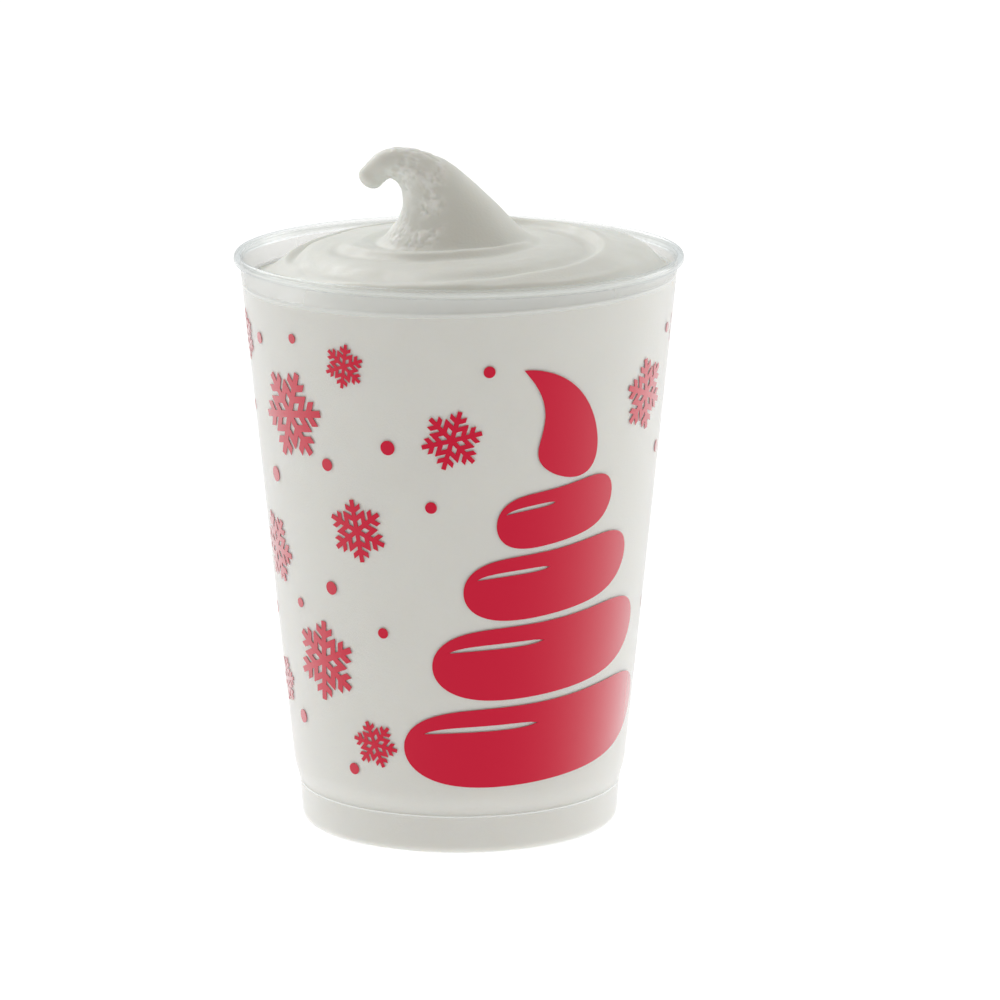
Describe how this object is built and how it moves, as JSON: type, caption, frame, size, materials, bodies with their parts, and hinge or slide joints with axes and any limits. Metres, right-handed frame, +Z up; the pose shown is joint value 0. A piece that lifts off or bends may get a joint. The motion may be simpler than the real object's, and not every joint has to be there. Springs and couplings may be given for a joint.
{
  "type": "frozen dairy dessert cup",
  "caption": "Clear tapered plastic cup with a rolled lip, filled with pale frozen dairy dessert whose swirled crown ends in a curled peak.",
  "frame": {"origin": "centre of the standing ring, on the surface that the cup stands on", "axes": "+Z up along the cup's axis; -Y towards the viewer of the front; the peak curls over towards -X"},
  "size_m": [0.092, 0.092, 0.1404],
  "materials": {
    "clear_cup": "clear, smooth and glossy",
    "frozen_dessert": "soft, milky and slightly moist, icy and rough on the peak",
    "print": "one glossy crimson ink on the outside of the wall"
  },
  "bodies": {
    "root": {"cup": "clear_cup", "frozen_dessert": "frozen_dessert"}
  },
  "joints": []
}
